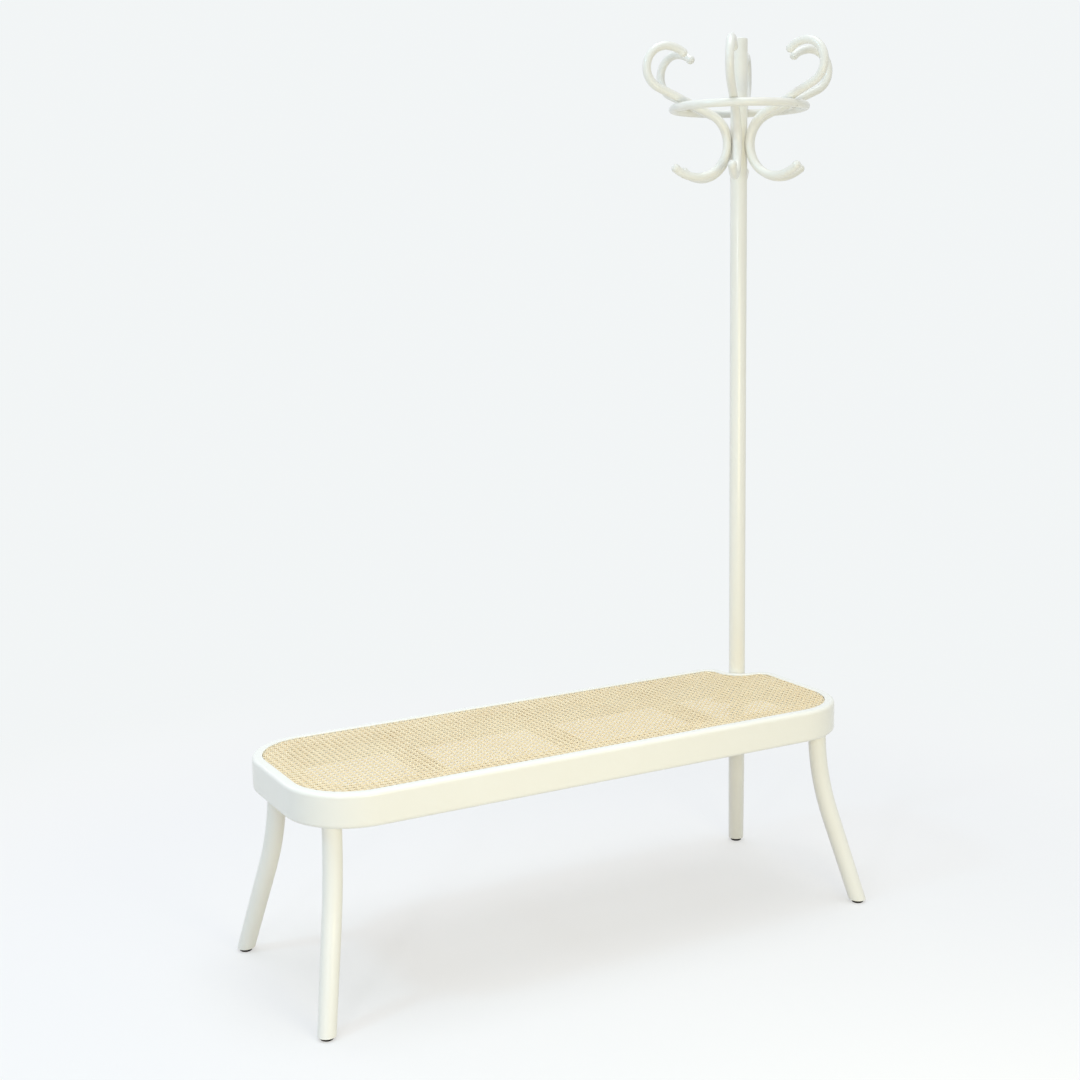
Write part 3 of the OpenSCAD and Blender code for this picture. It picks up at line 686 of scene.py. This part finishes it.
def hex_bolts(node, material):
    """Bolts with chamfered hexagon heads in place of a node's plain ones."""
    side = math.pi / 3
    angles = [math.tau * k / BOLT_SIDES for k in range(BOLT_SIDES)]
    mesh = bmesh.new()
    for top, outward, corner, length in fastener_places(node):
        flat = corner.length * math.cos(side / 2)
        land = BOLT_LAND * flat
        reach = [flat / math.cos(angle % side - side / 2) for angle in angles]
        rings = turn_rings(mesh, top, outward, corner, [
            [(DISH_DEEP, land * DISH_FLOOR)] * BOLT_SIDES,
            [(0, land * DISH_RIM)] * BOLT_SIDES,
            [(0, land)] * BOLT_SIDES,
            [((radius - land) * BOLT_CHAMFER, radius) for radius in reach],
            [(BOLT_HEAD, radius) for radius in reach],
            [(BOLT_HEAD, BOLT_SHANK)] * BOLT_SIDES,
            [(length, BOLT_SHANK)] * BOLT_SIDES])
        close_end(mesh, rings[0], top - outward * DISH_DEEP)
        close_end(mesh, rings[-1], top - outward * length)
    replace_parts(new_piece("hexagon_" + node, mesh, material), node)


# Floor and light

def seen(paint):
    """1 where the camera sees a surface straight, by a reflection or through glass."""
    camera = paint.node("LightPath", output="Is Camera Ray")
    glossy = paint.node("LightPath", output="Is Glossy Ray")
    through = paint.node("LightPath", output="Is Transmission Ray")
    return paint.math("MINIMUM", camera + glossy + through, 1.0)


def mix_shaders(paint, share, start, end):
    return paint.node("MixShader", None, {0: share, 1: start, 2: end})


def lay_floor():
    """A pale floor that turns into the backdrop's colour away from the bench, and is clear from below."""
    mesh = bmesh.new()
    bmesh.ops.create_circle(mesh, cap_ends=True, segments=FLOOR_SIDES, radius=FLOOR_RADIUS)
    material = bpy.data.materials.new("studio_floor")
    material.use_nodes = True
    tree = material.node_tree
    tree.nodes.clear()
    paint = Paint(tree)
    place = paint.node("TexCoord", output="Object")
    reach = paint.node("VectorMath", {"operation": "LENGTH"}, {0: place}, output="Value")
    far = paint.node("MapRange", {"interpolation_type": "SMOOTHSTEP"},
                     {"Value": reach, "From Min": FLOOR_NEAR, "From Max": FLOOR_FAR})
    visible = seen(paint)
    paper = paint.node("BsdfDiffuse", None, {"Color": between(paint, visible, PAPER_BELOW, PAPER)})
    glow = paint.node("Emission", None, {"Color": between(paint, far, PAPER_LIT, BACKDROP)})
    above = mix_shaders(paint, (far * (1 - PAPER_GLOW) + PAPER_GLOW) * visible, paper, glow)
    below = paint.node("BsdfTransparent")
    both = mix_shaders(paint, paint.node("NewGeometry", output="Backfacing"), above, below)
    output = tree.nodes.new("ShaderNodeOutputMaterial")
    tree.links.new(both.socket, output.inputs["Surface"])
    floor = object_of("studio_floor", mesh, material)


def fill_studio():
    """Cool light from all round, with the white backdrop where the camera looks."""
    world = bpy.data.worlds.new("studio")
    bpy.context.scene.world = world
    world.use_nodes = True
    tree = world.node_tree
    tree.nodes.clear()
    paint = Paint(tree)
    soft = paint.node("Background", None, {"Color": rgb(FILL)})
    backdrop = paint.node("Background", None, {"Color": rgb(BACKDROP)})
    output = tree.nodes.new("ShaderNodeOutputWorld")
    tree.links.new(mix_shaders(paint, seen(paint), soft, backdrop).socket, output.inputs["Surface"])


def add_lamp(name, at, size, power, colour):
    """A round soft lamp that faces the middle of the bench."""
    data = bpy.data.lights.new(name, "AREA")
    data.shape = "DISK"
    data.size = size
    data.energy = power
    data.color = colour
    lamp = bpy.data.objects.new(name, data)
    lamp.location = at
    lamp.rotation_euler = (LAMPS_FACE - Vector(at)).to_track_quat("-Z", "Y").to_euler()
    bpy.context.scene.collection.objects.link(lamp)


place_camera()
lay_floor()
fill_studio()
for lamp in LAMPS:
    add_lamp(*lamp)

lacquer_band = lacquer("lacquer_band", along=(0.03, 0.03, 1))
lacquer_upright = lacquer("lacquer_upright", along=(1, 1, 0.03))
lacquer_bent = lacquer("lacquer_bent", along=(1, 1, 1))
wood_long = bare_wood("wood_long", along=(0.05, 1, 1))
wood_cross = bare_wood("wood_cross", along=(1, 0.05, 1))
steel = metal("steel", STEEL, STEEL_DARK)
brass = metal("brass", BRASS, BRASS_DARK)
plastic = glide_plastic("glide")

# The nodes' finishes by the start of their names, of which the first that fits counts
finishes = (
    ("seat_rail", lacquer_band), ("leg_bolts", steel), ("leg_", lacquer_upright),
    ("rack_pole", lacquer_upright), ("coat_hook", lacquer_bent), ("hook_ring", lacquer_bent),
    ("ring_screws", lacquer_bent), ("glide_nails", steel), ("glide_", plastic),
    ("panel_side", wood_long), ("frame_dowels", wood_long), ("pole_bolts", steel),
    ("bolt_washers", steel), ("hook_screws", steel), ("panel_screws", brass),
    ("block_screws", brass), ("pole_inserts", brass), ("", wood_cross),
)
for name, node in nodes.items():
    for slot in node.material_slots:
        slot.material = next(finish for start, finish in finishes if name.startswith(start))

weave_seat()
for number in range(HOOK_COUNT):
    bend_hook(number, lacquer_bent)
plug_hooks(lacquer_bent)
for name in ("panel_screws", "block_screws"):
    wood_screws(name, brass)
for name in ("leg_bolts", "pole_bolts"):
    hex_bolts(name, steel)

bpy.context.scene.view_settings.view_transform = "Standard"
